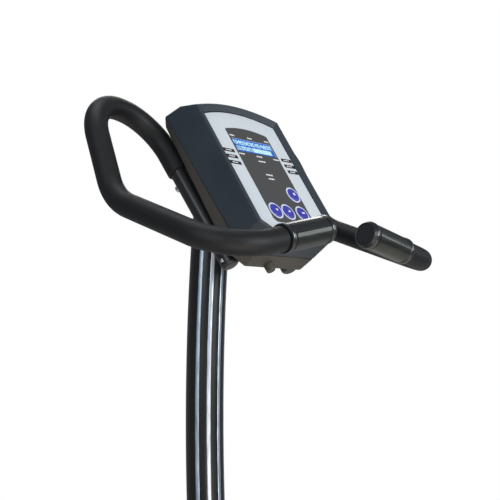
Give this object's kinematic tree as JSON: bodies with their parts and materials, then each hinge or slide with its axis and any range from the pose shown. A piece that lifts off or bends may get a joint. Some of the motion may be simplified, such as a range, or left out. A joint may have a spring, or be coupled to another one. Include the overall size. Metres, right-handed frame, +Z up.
{
  "type": "upright exercise bike",
  "caption": "Upright exercise bike with belt-driven flywheel, sliding saddle, bowed striped mast, lean-back console and looped foam handlebars with pulse grips.",
  "frame": {"origin": "on the floor under the middle of the whole bike", "axes": "+X the rider's forward, +Y the rider's left, +Z up"},
  "size_m": [1.08, 0.5588, 1.3722],
  "materials": {
    "frame_paint": "satin black powder coat",
    "mast_paint": "gloss black with silver stripes",
    "casing": "fine-grained dark slate plastic",
    "casing_dark": "fine-grained black plastic",
    "foam": "closed-cell foam sleeve",
    "grip_plastic": "smooth black plastic",
    "steel": "brushed",
    "iron": "machined rim, painted web",
    "rubber": "matt black rubber",
    "vinyl": "grained vinyl cover",
    "label": "printed film",
    "screen": "lit screen",
    "board": "green resist",
    "button": "soft-touch key"
  },
  "bodies": {
    "frame": {"main_frame": "frame_paint", "front_stabiliser": "frame_paint", "rear_stabiliser": "frame_paint", "front_end_cap_left": "rubber", "front_end_cap_right": "rubber", "rear_end_cap_left": "rubber", "rear_end_cap_right": "rubber", "crank_bearing_left": "steel", "crank_bearing_right": "steel", "flywheel_axle": "steel", "drive_belt": "rubber", "brake_motor": "grip_plastic", "shroud_left": "casing", "shroud_right": "casing", "power_inlet": "grip_plastic", "mast_collar": "casing_dark", "seat_bush": "casing_dark", "mast": "mast_paint", "console_bracket": "frame_paint", "console_front_shell": "casing", "console_rear_shell": "casing_dark", "label_panel": "label", "screen": "screen", "circuit_board": "board", "handlebar_tube_left": "frame_paint", "handlebar_tube_right": "frame_paint", "foam_sleeve_left": "foam", "foam_sleeve_right": "foam", "grip_left": "grip_plastic", "grip_right": "grip_plastic", "pulse_plate_front_left": "steel", "pulse_plate_front_right": "steel", "pulse_plate_rear_left": "steel", "pulse_plate_rear_right": "steel"},
    "crank": {"crank_axle": "steel", "drive_pulley": "grip_plastic", "crank_arm_left": "steel", "crank_arm_right": "steel", "pedal_spindle_left": "steel", "pedal_spindle_right": "steel"},
    "left_pedal": {"pedal_left": "grip_plastic", "pedal_strap_left": "rubber"},
    "right_pedal": {"pedal_right": "grip_plastic", "pedal_strap_right": "rubber"},
    "flywheel_body": {"flywheel": "iron"},
    "brake": {"brake_yoke": "steel"},
    "post": {"seat_post": "steel"},
    "saddle": {"saddle_carriage": "casing_dark", "saddle_base": "casing_dark", "saddle_pad": "vinyl"},
    "saddle_knob": {"carriage_knob": "grip_plastic"},
    "pin_knob": {"post_pin_knob": "grip_plastic"},
    "left_wheel": {"transport_wheel_left": "rubber"},
    "right_wheel": {"transport_wheel_right": "rubber"},
    "left_foot": {"levelling_foot_left": "rubber"},
    "right_foot": {"levelling_foot_right": "rubber"},
    "down_button": {"button_down": "button"},
    "up_button": {"button_up": "button"},
    "enter_button": {"button_enter": "button"},
    "start_button": {"button_start": "button"}
  },
  "joints": [
    {"name": "crank_spin", "type": "hinge", "parent": "frame", "child": "crank", "pos_m": [-0.15, 0, 0.3], "axis": [0, 1, 0], "continuous": true},
    {"name": "flywheel_spin", "type": "hinge", "parent": "frame", "child": "flywheel_body", "pos_m": [0.075, 0, 0.33], "axis": [0, 1, 0], "continuous": true},
    {"name": "left_pedal_spin", "type": "hinge", "parent": "crank", "child": "left_pedal", "pos_m": [0.00407, 0, 0.37184], "axis": [0, 1, 0], "continuous": true},
    {"name": "right_pedal_spin", "type": "hinge", "parent": "crank", "child": "right_pedal", "pos_m": [-0.30407, 0, 0.22815], "axis": [0, 1, 0], "continuous": true},
    {"name": "brake_swing", "type": "hinge", "parent": "frame", "child": "brake", "pos_m": [0.212, 0, 0.386], "axis": [0, 1, 0], "range_deg": [0, 6]},
    {"name": "post_height", "type": "slide", "parent": "frame", "child": "post", "axis": [-0.2512, 0, 0.9679], "range_m": [0, 0.15]},
    {"name": "saddle_reach", "type": "slide", "parent": "post", "child": "saddle", "axis": [1, 0, 0], "range_m": [-0.03, 0.03]},
    {"name": "saddle_knob_turn", "type": "hinge", "parent": "saddle", "child": "saddle_knob", "pos_m": [-0.4, 0, 0.667], "axis": [0, 1, 0], "range_deg": [0, 180]},
    {"name": "pin_pull", "type": "slide", "parent": "frame", "child": "pin_knob", "axis": [-0.9679, 0, -0.2512], "range_m": [0, 0.008], "stiffness_N_per_m": 1200, "springref_m": -0.005},
    {"name": "left_wheel_spin", "type": "hinge", "parent": "frame", "child": "left_wheel", "pos_m": [0.512, 0.26, 0.03], "axis": [0, 1, 0], "continuous": true},
    {"name": "right_wheel_spin", "type": "hinge", "parent": "frame", "child": "right_wheel", "pos_m": [0.512, -0.26, 0.03], "axis": [0, 1, 0], "continuous": true},
    {"name": "left_foot_screw", "type": "slide", "parent": "frame", "child": "left_foot", "axis": [0, 0, -1], "range_m": [0, 0.01]},
    {"name": "right_foot_screw", "type": "slide", "parent": "frame", "child": "right_foot", "axis": [0, 0, -1], "range_m": [0, 0.01]},
    {"name": "down_press", "type": "slide", "parent": "frame", "child": "down_button", "axis": [0.8364, 0, -0.5481], "range_m": [0, 0.001], "stiffness_N_per_m": 400, "springref_m": -0.001},
    {"name": "up_press", "type": "slide", "parent": "frame", "child": "up_button", "axis": [0.8364, 0, -0.5481], "range_m": [0, 0.001], "stiffness_N_per_m": 400, "springref_m": -0.001},
    {"name": "enter_press", "type": "slide", "parent": "frame", "child": "enter_button", "axis": [0.8364, 0, -0.5481], "range_m": [0, 0.001], "stiffness_N_per_m": 400, "springref_m": -0.001},
    {"name": "start_press", "type": "slide", "parent": "frame", "child": "start_button", "axis": [0.8364, 0, -0.5481], "range_m": [0, 0.001], "stiffness_N_per_m": 400, "springref_m": -0.001}
  ],
  "couplings": [
    {"joint": "flywheel_spin", "follows": "crank_spin", "ratio": 5}
  ]
}
